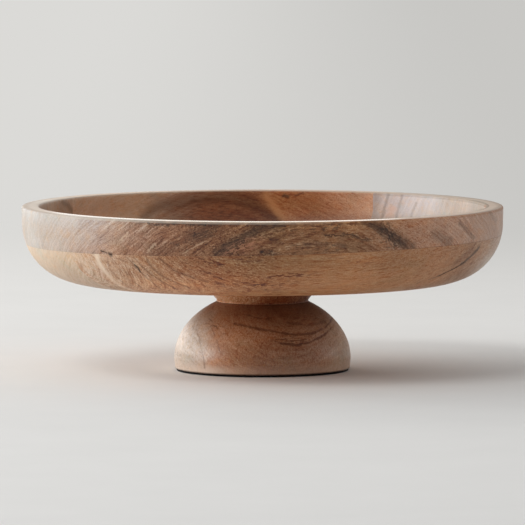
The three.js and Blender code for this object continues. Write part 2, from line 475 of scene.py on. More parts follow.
placed("soft_pad", turned(pad_outline(), foot_segments), "foot_pad", "pad_rubber")
placed("steel_washer", turned(washer_outline(), washer_segments), "screw_washer", "steel")
placed("steel_screw", screw_mesh(), "fixing_screw", "steel")

# %% [markdown]
# Shader maths reads best as plain expressions. Signal wraps one socket, and an operator on it adds a Math node.
# Finish holds one material and has one method that adds any node: its settings first, then its sockets.

# %% A small language for shaders
def operator(operation, flipped=False):
    """A method that makes a Math node out of a signal and another value."""
    def method(self, other):
        return self.maths(operation, *((other, self) if flipped else (self, other)))
    return method


class Signal:
    """One output socket of a finish. Arithmetic on it adds Math nodes."""

    __add__, __radd__ = operator("ADD"), operator("ADD", True)
    __sub__, __rsub__ = operator("SUBTRACT"), operator("SUBTRACT", True)
    __mul__, __rmul__ = operator("MULTIPLY"), operator("MULTIPLY", True)
    __truediv__ = operator("DIVIDE")
    least, most = operator("MINIMUM"), operator("MAXIMUM")

    def __init__(self, finish, socket):
        self.finish = finish
        self.socket = socket

    def maths(self, operation, *values):
        return self.finish.add("ShaderNodeMath", {"operation": operation}, dict(enumerate(values)))

    def __abs__(self):
        return self.maths("ABSOLUTE", self)

    def root(self):
        return self.maths("SQRT", self)

    def hill(self, width):
        """1 where this is 0, falling off to 0 on both sides like a bell."""
        ratio = self / width
        return self.maths("EXPONENT", ratio * ratio * -1)

    def between(self, start, end):
        """0 up to start and 1 from end, with a smooth step. The ends may be in either order."""
        flip = start > end
        settings = {"interpolation_type": "SMOOTHSTEP"}
        sockets = {"Value": self, "From Min": min(start, end), "From Max": max(start, end)}
        step = self.finish.add("ShaderNodeMapRange", settings, sockets)
        return 1 - step if flip else step


class Finish:
    """A material under construction."""

    def __init__(self, name):
        self.material = bpy.data.materials.new(name)
        self.material.use_nodes = True
        self.tree = self.material.node_tree
        self.tree.nodes.clear()

    def add(self, kind, settings=None, sockets=None, output=0):
        """Adds a node: its settings, then the values or links of its sockets. Returns one of its outputs."""
        node = self.tree.nodes.new(kind)
        for name, value in (settings or {}).items():
            if name == "stops":
                self.fill_ramp(node.color_ramp, value)
            else:
                setattr(node, name, value)
        for name, value in (sockets or {}).items():
            if isinstance(value, Signal):
                self.tree.links.new(value.socket, node.inputs[name])
            else:
                node.inputs[name].default_value = value
        return Signal(self, node.outputs[output]) if node.outputs else None

    def fill_ramp(self, ramp, stops):
        while len(ramp.elements) < len(stops):
            ramp.elements.new(0.5)
        for element, (position, colour) in zip(ramp.elements, stops):
            element.position = position
            element.color = colour

    def vector(self, operation, *values, output=0):
        return self.add("ShaderNodeVectorMath", {"operation": operation}, dict(enumerate(values)), output)

    def stretched(self, vector, amounts):
        return self.vector("MULTIPLY", vector, amounts)

    def parts(self, vector):
        """The X, Y and Z of a vector as three signals."""
        first = self.add("ShaderNodeSeparateXYZ", sockets={0: vector})
        return [Signal(self, output) for output in first.socket.node.outputs]

    def noise(self, vector, scale, detail=2.0, rough=0.5, stretch=None, output="Fac"):
        vector = self.stretched(vector, stretch) if stretch else vector
        sockets = {"Vector": vector, "Scale": scale, "Detail": detail, "Roughness": rough}
        return self.add("ShaderNodeTexNoise", sockets=sockets, output=output)

    def line_noise(self, along, detail, rough):
        """Noise along one number, for bands that follow the growth rings."""
        sockets = {"W": along, "Scale": 1.0, "Detail": detail, "Roughness": rough}
        return self.add("ShaderNodeTexNoise", {"noise_dimensions": "1D"}, sockets)

    def mix(self, first, second, factor, kind="MIX"):
        """Blends two colours."""
        settings = {"data_type": "RGBA", "blend_type": kind}
        return self.add("ShaderNodeMix", settings, {0: factor, 6: first, 7: second}, 2)

    def place(self):
        """The point of the surface in millimetres, in the frame's axes."""
        point = self.add("ShaderNodeTexCoord", output="Object")
        return self.vector("MULTIPLY", point, (1000, 1000, 1000))

    def ramp(self, tones, position):
        """The colour at a position from 0 to 1 among (position, tone) pairs."""
        stops = [(at, tone(*colour)) for at, colour in tones]
        return self.add("ShaderNodeValToRGB", {"stops": stops}, {"Fac": position}, "Color")

    def surface(self, colour, roughness, height, depth, **constants):
        """Ends the material in a principled shader. depth is the bump's height in millimetres."""
        bump = self.add("ShaderNodeBump", sockets={"Height": height, "Distance": depth * MM, "Strength": 1.0})
        sockets = {"Base Color": colour, "Roughness": roughness, "Normal": bump}
        sockets.update({name.replace("_", " "): value for name, value in constants.items()})
        shader = self.add("ShaderNodeBsdfPrincipled", sockets=sockets)
        self.add("ShaderNodeOutputMaterial", sockets={"Surface": shader})
        return self.material


def tone(red, green, blue):
    """A colour given as it looks on screen, from 0 to 255, in the linear values that shaders use."""
    def linear(value):
        value = value / 255
        return value / 12.92 if value <= 0.04045 else ((value + 0.055) / 1.055) ** 2.4
    return (linear(red), linear(green), linear(blue), 1.0)


# %% [markdown]
# Most effects belong to one place, so a few helpers say where a point is. In these and all functions of x, y and z
# below, the three are signals in millimetres.

# %% Where a point is
def hump(x, centre, width):
    """1 where x is at the centre, falling off to both sides."""
    return (x - centre).hill(width)


def rightward(x, y, z):
    return x * to_right.x + y * to_right.y


def backward(x, y, z):
    return x * to_back.x + y * to_back.y


def outside(x, y, z):
    """1 on the outer wall and the underside, 0 on the inner wall and the floor."""
    drop = (inside_centre[1] - z).most(0).least(inside_curve)
    inner = (inside_curve * inside_curve - drop * drop).root() + inside_centre[0]
    return ((x * x + y * y).root() - inner).between(2, 5).most(z.between(floor_top - 1, floor_top - 3))


# %% [markdown]
# Some marks belong to one place: a smoky mineral streak, a crack beside a knot, a pale seam of sapwood. They are
# drawn as strokes through a few points, or as patches of short dashes. On the outer wall a point is a bearing from
# the front, in degrees, and a height in millimetres, as on the unrolled wall. Noise shifts the edges of strokes and
# tears gaps in them, so that none looks ruled.

# %% Walls to draw on
class Wall:
    """A wall laid flat. One step across it is a millimetre, or a degree round the bowl."""

    def __init__(self, coat, across, step=1.0, shake=2.0):
        self.finish = coat.finish
        self.step = step
        wall = self.finish.add("ShaderNodeCombineXYZ", sockets={"X": across, "Y": coat.z})
        self.point = self.finish.vector("ADD", wall, self.finish.stretched(coat.jag, (shake, shake, 0)))

    def at(self, point):
        return Vector((point[0] * self.step, point[1], 0))

    def stroke(self, points, width, soft=0.7, tear=None):
        """1 on the line through the points and 0 away from it. soft is the share of the half width that fades."""
        path = [self.at(point) for point in points]
        nearest = None
        for start, end in zip(path, path[1:]):
            ahead = end - start
            offset = self.finish.vector("SUBTRACT", self.point, start)
            share = self.finish.vector("DOT_PRODUCT", offset, ahead / ahead.length_squared, output=1)
            scale = {0: ahead, "Scale": share.most(0).least(1)}
            nearby = self.finish.add("ShaderNodeVectorMath", {"operation": "SCALE"}, scale)
            gap = self.finish.vector("DISTANCE", offset, nearby, output=1)
            nearest = gap if nearest is None else nearest.least(gap)
        if tear is not None:
            nearest = nearest + (tear * 8).most(-0.2 * width)
        half = width / 2
        return nearest.between(half * (1 + soft), half * (1 - soft))

    def flecks(self, centre, reach, slant, share):
        """Short dashes, scattered in a patch round a centre and slanted by some degrees."""
        offset = self.finish.vector("SUBTRACT", self.point, self.at(centre))
        turn = {"Vector": offset, "Angle": math.radians(-slant)}
        along = self.finish.add("ShaderNodeVectorRotate", {"rotation_type": "Z_AXIS"}, turn)
        across, up, _ = self.finish.parts(self.finish.stretched(along, (1 / reach[0], 1 / reach[1], 1)))
        near = (across * across + up * up).root().between(1.25, 0.45)
        dash = self.finish.noise(along, 0.75, 1.0, 0.4, (0.22, 1, 1)).between(share - 0.03, share + 0.05)
        return dash * near


def round_wall(coat, shake):
    """The outer wall unrolled, in degrees from the front."""
    across = coat.x.maths("ARCTAN2", coat.x, 0 - coat.y) * rim_radius
    return Wall(coat, across, math.radians(1) * rim_radius, shake)


# %% [markdown]
# A mark changes the colour in one of two ways. A tint multiplies what is there, as a stain does. A cover replaces
# it by a tone given as it looks on screen. Coat keeps the colour while both are laid on in turn.

# %% A coat of colour
class Coat:
    """The colour of one finish, and what its marks need to know of the point."""

    def __init__(self, finish, colour, place, axes, grit):
        x, y, z = self.x, self.y, self.z = axes
        self.finish = finish
        self.colour = colour
        self.grit = grit
        self.right = rightward(x, y, z)
        self.inward = rim_radius - (x * x + y * y).root()
        self.jag = finish.vector("SUBTRACT", finish.noise(place, 0.30, 3.0, 0.7, output="Color"), (0.5, 0.5, 0.5))
        self.tear = finish.noise(place, 0.14, 2.0) - 0.5

    def tint(self, rgb, mask):
        self.colour = self.finish.mix(self.colour, (*rgb, 1), mask, "MULTIPLY")

    def cover(self, rgb, mask):
        self.colour = self.finish.mix(self.colour, tone(*rgb), mask)

    def strokes(self, wall, ink, rows, soft=0.7, tear=None, worn=1.0):
        """Tints with strokes. A row has the points, the width and the strength."""
        for points, width, strength in rows:
            self.tint(ink, wall.stroke(points, width, soft, tear) * worn * strength)

    def patches(self, wall, ink, rows, worn=1.0):
        """Tints with dashes. A row has the centre, the reach both ways, the slant, the gaps' share and the strength."""
        for centre, reach, slant, share, strength in rows:
            self.tint(ink, wall.flecks(centre, reach, slant, share) * worn * strength)


smoke = (0.37, 0.335, 0.295)
umber = (0.36, 0.24, 0.17)
russet = (0.42, 0.23, 0.15)
soot = (0.10, 0.07, 0.05)

# %% [markdown]
# The front board of the rim carries the boldest marks: two smoky streaks that lean towards each other, a thin black
# crack that ends in a knot at the glue line, and dark dashes where the arching rings are cut at a shallow angle.

# %% Marks of the rim's front board
knot_path = (-56.1, 98.0), (-55.2, 97.6), (-54.3, 96.7)
knot_heart = (-53.6, 96.1), (-53.1, 95.7)


def rim_front_marks(coat):
    wall, calm = round_wall(coat, 6.5), round_wall(coat, 2.2)
    coat.strokes(wall, smoke, (
        (((-41.0, 98.3), (-36.0, 103.4), (-31.5, 109.5), (-28.2, 114.7)), 10, 0.36),
        (((-25.2, 98.5), (-22.1, 104.9), (-18.7, 111.2), (-16.1, 117.3), (-10.8, 120.9)), 8, 1.0),
        (((10.2, 121.1), (14.6, 114.4), (18.8, 107.5), (22.6, 100.6)), 8.5, 1.0),
        (((11.8, 119.4), (16.6, 111.0), (21.2, 103.4)), 5.0, 0.60),
        (((-23.0, 103.2), (-19.4, 109.8), (-16.4, 115.8)), 5.5, 0.55),
        (((4.4, 106.9), (12.0, 100.4)), 9, 0.32),
        (((-14.6, 100.6), (-12.0, 98.4)), 6, 0.5),
        (((29.6, 109.5), (32.5, 105.5), (35.5, 103.5)), 7, 0.62),
        (((38.9, 116.4), (45.5, 104.2)), 3.4, 0.60),
        (((54.8, 121.4), (60.0, 113.7)), 4, 0.35),
    ), worn=coat.grit * 0.3 + 0.7)
    coat.strokes(wall, umber, (
        (((-30.6, 112.0), (-26.4, 118.6)), 9.0, 0.28),
        (((-12.3, 109.3), (-9.3, 107.1), (-5.8, 105.9), (1.3, 105.9), (5.0, 103.5)), 2.6, 0.60),
        (((-40.0, 120.3), (-12.0, 119.9), (2.0, 119.9), (12.0, 120.2)), 1.5, 0.70),
    ), 0.8, coat.tear)
    coat.patches(wall, soot, (
        ((-28.0, 115.6), (13, 7), 24, 0.55, 0.65),
        ((-40.0, 119.6), (16, 2.0), 0, 0.52, 1.0),
        ((2.2, 112.2), (12, 1.6), 0, 0.50, 1.0),
        ((8.0, 110.4), (14, 2.0), -14, 0.50, 0.9),
        ((-13.0, 99.6), (8, 3.5), 0, 0.52, 0.9),
        ((-33.0, 108.0), (16, 8), 35, 0.58, 0.6),
        ((-3.0, 117.0), (30, 4), 4, 0.56, 0.8),
        ((6.5, 111.0), (18, 4.5), -18, 0.56, 0.5),
        ((-2.0, 103.0), (26, 6), 0, 0.57, 0.6),
        ((16.0, 103.0), (18, 6), -25, 0.57, 0.6),
        ((44.0, 108.0), (10, 8), -50, 0.58, 0.5),
        ((16.4, 110.8), (15, 6), -52, 0.50, 0.9),
        ((-31.0, 120.2), (26, 1.6), 0, 0.52, 1.0),
    ), worn=0.8)
    knot = calm.stroke(knot_path, 0.8, 0.9).most(calm.stroke(knot_heart, 2.7, 0.9))
    coat.tint(soot, knot)
    for points, strength in ((((-42.9, 98.3), (-39.5, 107.4)), 0.45), (((-49.8, 106.9), (-47.5, 112.3)), 0.4)):
        coat.cover((205, 178, 150), wall.stroke(points, 0.9, 0.9, coat.tear) * strength)
    seam = calm.stroke(((-33.6, 98.6), (-30.1, 104.5), (-26.5, 110.5)), 0.9, 0.9, coat.tear * 0.3)
    coat.cover((205, 174, 142), seam * 0.45)
    coat.cover((188, 130, 98), wall.flecks((-19.8, 103.4), (17, 5.5), 24, 0.50) * 0.5)
    coat.tint((1.30, 1.28, 1.20), coat.z.between(112, 119) * hump(coat.x, 0, 60))
    return knot


# %% [markdown]
# Below it, the front board of the base is cut across its rings at the left, so thin dark arcs run down from the glue
# line beside a pale band of sapwood. In the middle lie reddish splinters, and at the right a split climbs to the glue
# line and widens on its way. The split's wide top and a russet band beside it are painted shade, and a pale cover low
# on the right end is painted sheen.

# %% Marks of the base's front board
def base_front_marks_and_painted_light(coat):
    x, z, right, tear = coat.x, coat.z, coat.right, coat.tear
    calm = round_wall(coat, 2.2)
    band = (-57.9, 95.0), (-57.8, 87.3), (-57.0, 79.9), (-56.6, 73.2), (-55.0, 67.8)
    coat.cover((232, 212, 190), calm.stroke(band, 4.8, 0.95) * (z.between(68, 88) * 0.35 + 0.35))
    coat.strokes(calm, soot, (
        (((-48.4, 96.0), (-47.3, 93.6), (-47.2, 91.8), (-46.7, 90.4)), 0.8, 0.75),
        (((-46.9, 88.9), (-46.2, 86.9), (-46.0, 84.2)), 1.1, 0.85),
        (((-50.3, 82.4), (-49.2, 71.6)), 0.9, 0.4),
        (((-44.5, 82.8), (-42.0, 73.9)), 0.9, 0.5),
        (((-53.4, 94.6), (-52.2, 90.7)), 0.9, 0.6),
    ), 0.9, tear)
    coat.strokes(calm, umber, (
        (((-48.7, 94.6), (-46.9, 88.9), (-45.9, 83.7), (-44.1, 76.2), (-43.3, 70.7)), 1.3, 0.60),
        (((-46.6, 95.2), (-44.9, 88.2), (-43.2, 82.6), (-40.9, 76.6), (-38.4, 71.2)), 1.3, 0.60),
        (((-43.2, 94.9), (-42.3, 87.3), (-40.5, 82.1), (-37.4, 76.9), (-34.3, 72.5)), 1.3, 0.60),
        (((-39.9, 95.3), (-38.8, 92.0), (-36.3, 85.8), (-33.0, 81.7), (-28.5, 77.5)), 1.3, 0.60),
        (((-54.5, 93.5), (-55.2, 85.6), (-54.3, 78.1), (-53.4, 71.0)), 1.3, 0.35),
        (((-51.8, 93.5), (-48.5, 90.9), (-47.0, 86.6)), 1.3, 0.45),
        (((-71.1, 90.9), (-72.1, 85.8), (-71.4, 78.4)), 1.3, 0.25),
        (((-64.5, 91.0), (-65.1, 82.8), (-63.0, 75.5)), 1.3, 0.25),
    ), 0.95, tear * 0.15)
    coat.tint((0.88, 0.85, 0.80), z.between(87, 95) * right.between(-112, -72) * right.between(62, 20))
    coat.tint((0.80, 0.79, 0.77), z.between(78, 92) * hump(right, 95, 20))
    coat.tint((1.24, 1.20, 1.08), z.between(85, 74) * hump(right, -52, 55))
    coat.strokes(calm, russet, (
        (((-29.4, 86.0), (-27.4, 84.5)), 1.9, 1.0),
        (((-26.8, 82.2), (-24.8, 80.7)), 1.2, 0.9),
        (((-26.4, 77.7), (-24.2, 75.7)), 1.5, 0.9),
        (((-13.8, 71.7), (-9.7, 71.5)), 1.6, 0.6),
    ), 0.9, tear)
    faint = calm.stroke(((31.0, 72.8), (37.0, 77.8)), 0.8, 0.9, tear * 0.3)
    split = calm.stroke(((37.0, 77.8), (42.4, 83.3), (44.6, 87.0)), 1.0, 0.9)
    # The wide top of the split is painted shade.
    wide = calm.stroke(((43.6, 85.4), (46.6, 90.4), (49.4, 96.4)), 3.0, 0.95, tear * 0.4)
    coat.tint(soot, (faint * 0.7).most(split).most(wide * 0.85))
    # Painted shade: a russet band beside the split.
    coat.tint(russet, calm.stroke(((40.4, 86.5), (45.9, 95.5)), 5.5, 0.95) * 0.45)
    # Painted sheen: a pale cover low on the right end, seen at a grazing angle.
    coat.cover((224, 214, 203), z.between(98, 74) * x.between(126, 160) * 0.72)
    coat.patches(calm, russet, (
        ((-27.5, 84.8), (9, 3), -8, 0.56, 0.7),
        ((-24.5, 80.5), (8, 3), -15, 0.57, 0.6),
        ((-24.8, 75.0), (9, 2.5), -5, 0.57, 0.6),
        ((-8.3, 82.9), (24, 2.4), 5, 0.51, 1.0),
        ((-17.0, 76.6), (18, 3.4), 0, 0.52, 0.9),
        ((-12.5, 76.0), (24, 4), 4, 0.56, 0.7),
        ((-27.4, 93.4), (15, 4.5), -12, 0.53, 0.9),
        ((-18.0, 94.6), (15, 3.0), 0, 0.54, 0.8),
        ((-34.0, 92.5), (10, 5), -40, 0.57, 0.6),
        ((6.0, 94.0), (30, 4), -6, 0.58, 0.45),
    ))
    knot = calm.stroke(knot_heart, 2.8, 0.8)
    coat.tint(soot, knot * 0.95)
    return knot.most(split * 0.5)


# %% [markdown]
# The inside of the back board shows one tall, dark arch of heartwood. The middle boards have thin grey lines across the
# pale sapwood at the right and a curved one at the left. The foot has two long dark lines that sag across its front.
# Its top under the neck is darkened all round by painted shade from the bowl. Its front has a painted shaded band
# halfway up and a painted highlight near the table, and a painted contact shadow darkens its bottom edge.

# %% Marks of the other boards and the foot
def rim_back_marks(coat):
    wall = Wall(coat, coat.x)
    arch = (
        (-52, 102), (-46, 108), (-34, 112), (-20, 115), (-5, 117), (10, 118), (25, 116), (34, 113), (41, 108),
        (46, 104), (51, 100),
    )
    crown = 118 - ((coat.x - 4) * (coat.x - 4)) * 0.0066
    coat.tint((0.66, 0.56, 0.48), (crown - coat.z + coat.tear * 5).between(-1.5, 4.0) * 0.9)
    coat.tint(smoke, wall.stroke(arch, 9, 0.95) * 0.72)
    coat.tint(umber, wall.flecks((2, 106), (34, 8), 0, 0.56) * 0.5)
    coat.tint(soot, wall.stroke(((57, 118), (60, 117.5)), 2.4, 0.9) * 0.75)
    coat.tint(umber, wall.stroke(((65, 118), (71, 120.5)), 1.2, 0.9) * 0.8)
    coat.cover((206, 150, 98), wall.stroke(((44, 118), (56, 101)), 5, 0.9) * 0.5)


def rim_middle_marks(coat):
    wall = Wall(coat, coat.x)
    coat.strokes(wall, smoke, (
        (((116.5, 99), (119.0, 122)), 6, 0.42),
        (((121.4, 99), (126.4, 122)), 1.6, 0.50),
        (((129.6, 99), (134.3, 122)), 1.4, 0.38),
        (((138.0, 102), (141.9, 116)), 1.2, 0.30),
        (((-127.0, 119.6), (-121.6, 116.6), (-117.0, 112.0), (-112.8, 107.0)), 3.4, 0.60),
        (((-129.0, 116.0), (-121.0, 109.0)), 9.0, 0.20),
    ), 0.9)
    coat.tint((0.80, 0.70, 0.60), outside(coat.x, coat.y, coat.z) * coat.x.between(60, 140))
    coat.cover((216, 168, 136), wall.stroke(((127.0, 105.5), (128.5, 110.0)), 4.5, 1.0) * 0.5)


def foot_marks_and_painted_light(coat):
    z, right = coat.z, coat.right
    front = backward(coat.x, coat.y, z).between(8, -4)
    wall = Wall(coat, right)
    # Painted shade: the top under the bowl is darkened all round.
    coat.tint((0.52, 0.42, 0.35), z.between(26, 52))
    # Painted shade: a darker band across the front, halfway up.
    coat.tint((0.88, 0.84, 0.78), hump(z, 19, 8) * front * 0.9)
    # Painted highlight: a pale cover low on the front, near the table.
    coat.cover((214, 190, 172), z.between(11, 3) * front * (hump(right, -40, 13) * 0.6 + 0.36))
    # Painted contact shadow along the bottom edge.
    coat.tint((0.30, 0.26, 0.24), z.between(foot_bottom + 1.2, foot_bottom + 0.5) * 0.9)
    sagging = (-20.5, 38.0), (-6.0, 35.6), (8.0, 33.2), (24.0, 30.4), (38.0, 31.0), (47.0, 34.5), (53.0, 40.5)
    coat.strokes(wall, umber, (
        (sagging, 1.4, 0.85),
        (((9.0, 26.5), (16.0, 24.4), (25.0, 23.2), (36.0, 25.2), (45.0, 29.0), (50.0, 33.0)), 1.5, 0.95),
        (((-48.5, 33.0), (-45.5, 22.0), (-43.0, 12.0), (-42.5, 6.0)), 0.8, 0.5),
        (((-37.0, 34.0), (-33.5, 26.0), (-31.0, 18.0)), 0.9, 0.5),
        (((18.0, 39.0), (34.0, 36.5), (46.0, 38.0)), 1.4, 0.55),
    ), 0.9, coat.tear * 0.5, front)
    coat.patches(wall, umber, (
        ((-4.0, 43.0), (16, 3), -4, 0.56, 0.7),
        ((30.0, 41.0), (16, 4), 0, 0.58, 0.5),
        ((-34.0, 36.0), (10, 6), -35, 0.57, 0.6),
        ((21.0, 27.0), (17, 4.0), 0, 0.53, 0.8),
        ((-36.0, 36.5), (9, 1.6), 0, 0.53, 0.5),
    ), front)


# %% [markdown]
# The glue between the courses shows as a thin, slightly darker line. The rim is what hands and cloths touch most. Its
# flat top is rubbed smooth, so it is shinier than the wall. It is also painted paler, most in front: a painted
# highlight that shows at a low angle as a bright line round the bowl. Towards the right the eased outer edge keeps the
# colour of the wall, while on the left half it is covered with a darker painted shade. Inside, painted shade darkens
# the boards along the glue line at the back, the inner rounding on the right and the far right end. A painted cool
# sheen lights the left end.

# %% The glue line and the rim
# Painted highlight on the rim: the inner edge and the flat top are cream, brightest in front and darker towards the
# right end.
rim_edge_painted_light_tones = (
    (0.0, (206, 192, 178)), (0.10, (226, 204, 184)), (0.24, (250, 231, 200)), (0.68, (246, 221, 192)),
    (0.80, (200, 182, 166)), (1.0, (182, 167, 152)),
)
rim_flat_painted_light_tones = (
    (0.0, (192, 174, 158)), (0.10, (186, 167, 151)), (0.22, (206, 196, 186)), (0.32, (226, 214, 198)),
    (0.66, (226, 210, 192)), (0.76, (178, 161, 147)), (0.90, (154, 139, 125)), (1.0, (158, 144, 130)),
)


def glue_lines_and_painted_shade(coat):
    y, right = coat.y, coat.right
    gap = coat.z - right * glue_slope - glue_height
    below = (gap + 4).hill(9.0) * gap.between(0.2, -0.2) * hump(right, -10, 75) * y.between(0, -40)
    inside = coat.inward.between(8, 11) * y.between(0, 40)
    painted_inner_shade = inside * (right.between(-30, 40) * 0.55 + right.between(60, 110) * 0.4)
    coat.tint((0.76, 0.76, 0.68), below)
    # Painted shade: a dark band along the glue line on the inner wall at the back.
    coat.tint((0.48, 0.40, 0.30), (gap - 1.0).hill(5.5) * painted_inner_shade)
    coat.tint((0.55, 0.46, 0.40), gap.hill(0.30) * (right.between(-70, 10) * 0.42 + 0.14))


def rim_polish_and_painted_light(coat, roughness):
    """Paints highlight and shade on the rim and returns the roughness with the rim's polish."""
    finish, x, z, right, inward = coat.finish, coat.x, coat.z, coat.right, coat.inward
    front = backward(x, coat.y, z).between(20, -40)
    ends = right.between(-140, -165).most(right.between(84, 112))
    inner = inward.between(2.5, 6.5).most(hump(right, -12, 34))
    top = z.between(rim_top - 1.0, rim_top - 0.3) * inward.between(0.6, 1.6)
    outer = inward.between(1.8, 1.0) * z.between(rim_top - 2.0, rim_top - 1.2)
    far_left_to_right = (right + rim_radius) / (2 * rim_radius)
    flat, edge = [finish.ramp(tones, far_left_to_right) for tones in (rim_flat_painted_light_tones, rim_edge_painted_light_tones)]
    # Painted highlight: the flat top is covered with these cream tones, most strongly in front.
    painted_rim_highlight = finish.mix(tone(190, 170, 150), finish.mix(flat, edge, inner), front.most(ends))
    coat.colour = finish.mix(coat.colour, painted_rim_highlight, top * (front * 0.16 + 0.72))
    # Painted shade: the outer rounding on the left half is covered with a darker tone.
    coat.cover((180, 166, 150), outer * (1 - ends) * right.between(70, 0) * 0.5)
    polish = top * front * (1 - ends) * (inner * 0.75 + 0.25)
    inside = inward.between(10, 11)
    deep = inside * z.between(rim_top - 2.6, rim_top - 1.6) * right.between(40, 110)
    # Painted shade on the inner rounding at the right.
    coat.tint((0.82, 0.80, 0.78), deep)
    # Painted shade on the inner wall at the far right end.
    coat.tint((0.70, 0.72, 0.71), inside * right.between(150, 160))
    # Painted cool sheen at the left end under the rim, painted sheen lower down, and a slightly darker, warmer band
    # between them.
    coat.tint((1.08, 1.22, 1.34), hump(x, -138, 30) * z.between(111, 118))
    coat.tint((1.18, 1.13, 1.09), hump(x, -150, 26) * z.between(107, 99))
    coat.tint((0.97, 0.93, 0.89), hump(z, 108, 6) * x.between(-140, -165))
    return (roughness + outer * 0.35 + ends * top * 0.3 + deep * 0.35) * (1 - polish * 0.86)


# %% [markdown]
# Wood is a solid texture. Growth rings are sheets inside the log, and a turned surface shows where it cuts them.
# So the finish works out, for each point, its distance across the rings, and lets that distance steer bands and
# fine lines. Fibres and pores are noise stretched along the grain, and flakes are noise stretched within the rings.
# A ramp along the board takes the colour from pale sapwood to brown heartwood. Darker wood is made with gamma,
# because real wood grows redder as it darkens.

# %% Wood
def even(x, y, z):
    return 1.0


def satin(x, y, z):
    return 0.42


def wood(name, rings, tones, seed, marks=None, bands=1.0, strands=1.0, contrast=even, rim=False,
         along=(0.12, 1.0, 1.0), tone_axis=None, gloss=satin, bend=10, plain=even, side=even):
    """One board's finish. tones are (position, tone) pairs along the board, or along tone_axis.

    bands and strands scale the rings and the fibres, contrast both of them, plain the flakes, and side the marks.
    """
    finish = Finish(name)
    place = finish.place()
    x, y, z = finish.parts(place)
    shifted = finish.vector("ADD", place, (seed * 370.0, seed * 910.0, seed * 530.0))
    sway = finish.noise(shifted, 0.022, 2.0, 0.5, (0.35, 1, 1), "Color")
    sway = finish.vector("SUBTRACT", sway, (0.5, 0.5, 0.5))
    ripple = finish.noise(shifted, 0.16, 2.0, 0.6, (0.3, 1, 1)) - 0.5
    bent = finish.vector("ADD", place, finish.stretched(sway, (bend, bend, bend)))
    across = rings(*finish.parts(bent)) + ripple * 1.4

    grain = finish.stretched(finish.vector("ADD", bent, (seed * 170.0, seed * 310.0, seed * 730.0)), along)
    sheet = finish.add("ShaderNodeCombineXYZ", sockets={
        "X": across + seed * 71.0, "Y": x * 0.06 + seed * 13.0, "Z": (y + z) * 0.10,
    })
    cloud = finish.noise(shifted, 0.035, 3.0, 0.55, (0.4, 1, 1))
    blush = finish.noise(shifted, 0.065, 3.0, 0.6, (0.3, 1, 1))
    tinge = finish.noise(shifted, 0.30, 2.0, 0.6, (0.35, 1, 1))
    wide = finish.line_noise(across * 0.085 + seed * 11.3, 2.0, 0.55)
    fine = finish.line_noise(across * 0.34 + seed * 5.1, 2.0, 0.7)
    fibre = finish.noise(grain, 0.90, 2.0, 0.65)
    strand = finish.noise(sheet, 1.05, 2.0, 0.65, (1.0, 2.0, 3.0))
    fibre = fibre + (strand - fibre) * abs(x).between(50, 125)
    flake = finish.noise(sheet, 0.80, 2.0, 0.6)
    dust = finish.noise(bent, 1.6, 1.0, 0.5, (0.5, 1, 1))
    pores = finish.noise(grain, 1.15, 1.0, 0.4).between(0.58, 0.68)
    specks = finish.noise(sheet, 0.95, 1.0, 0.4, (1.0, 2.2, 2.2)).between(0.58, 0.68)
    fade = finish.noise(shifted, 0.05, 2.0).between(0.35, 0.65)

    start, end = tones[0][0], tones[-1][0]
    lengthways = tone_axis(x, y, z) if tone_axis else x
    position = (lengthways + (cloud - 0.5) * 24 - start) / (end - start)
    shares = [((at - start) / (end - start), colour) for at, colour in tones]
    coat = Coat(finish, finish.ramp(shares, position), place, (x, y, z), flake.between(0.44, 0.56))
    coat.tint((1.08, 0.96, 0.82), blush.between(0.52, 0.72) * 0.7)
    coat.tint((0.90, 0.98, 0.98), blush.between(0.48, 0.30) * 0.75)
    coat.tint((1.05, 0.97, 0.86), tinge.between(0.50, 0.66) * 0.8)
    coat.tint((0.97, 1.00, 1.03), tinge.between(0.48, 0.34) * 0.8)

    lines = (wide - 0.5) * 0.42 + (fine - 0.5) * (fade * 0.5 + 0.40)
    threads = (fibre - 0.5) * 1.15 + (flake - 0.5) * plain(x, y, z) * 0.90 + (dust - 0.5) * 1.15
    threads = threads + pores * 0.50 + specks * fade * 0.50
    dark = lines * bands + threads * strands + (cloud - 0.5) * 0.35
    gamma = (dark * contrast(x, y, z) + 0.92).most(0.5)
    bare = finish.add("ShaderNodeGamma", sockets={"Color": coat.colour, "Gamma": gamma})

    coat.colour = bare
    hollow = (marks(coat) if marks else None) or 0.0
    hollow = hollow * side(x, y, z)
    coat.colour = finish.mix(bare, coat.colour, side(x, y, z))
    glue_lines_and_painted_shade(coat)
    roughness = gloss(x, y, z) + (fibre - 0.5) * 0.22 + pores * 0.10 + hollow * 0.4
    if rim:
        roughness = rim_polish_and_painted_light(coat, roughness)
    pit = pores * 0.6 + specks * 0.4 + hollow * 3
    height = 1.0 - pit - (flake - 0.5) * 0.5 - (fine - 0.5) * 0.4
    return finish.surface(coat.colour, roughness, height, 0.05, Specular_IOR_Level=0.5)


# %% [markdown]
# Each board came from another place in a log. The front board of the rim has nearly flat rings that lean, so they
# rise from both ends and arch over the front. Below it the rings hang the other way: steep at the left, level in
# front and rising gently to the right.

# %% Rings of each board
def rim_front_rings(x, y, z):
    return y * 0.65 + z * 0.76 + x * 0.04 - hump(x, -6, 60) * 13.9


def rim_middle_rings(x, y, z):
    return y * 0.9 + z * 0.43


def rim_back_rings(x, y, z):
    return z * 0.75 - y * 0.5 - hump(x, 4, 42) * 9.0


def base_front_rings(x, y, z):
    left = (x + 50).least(0)
    right = (x - 5).most(0)
    return z * 0.95 + y * 0.3 - left * left * 0.0077 - right * right * 0.0022


def base_middle_rings(x, y, z):
    return z * 0.8 + y * 0.5 - hump(x, 40, 90) * 8


def base_back_rings(x, y, z):
    return z * 0.6 - y * 0.7


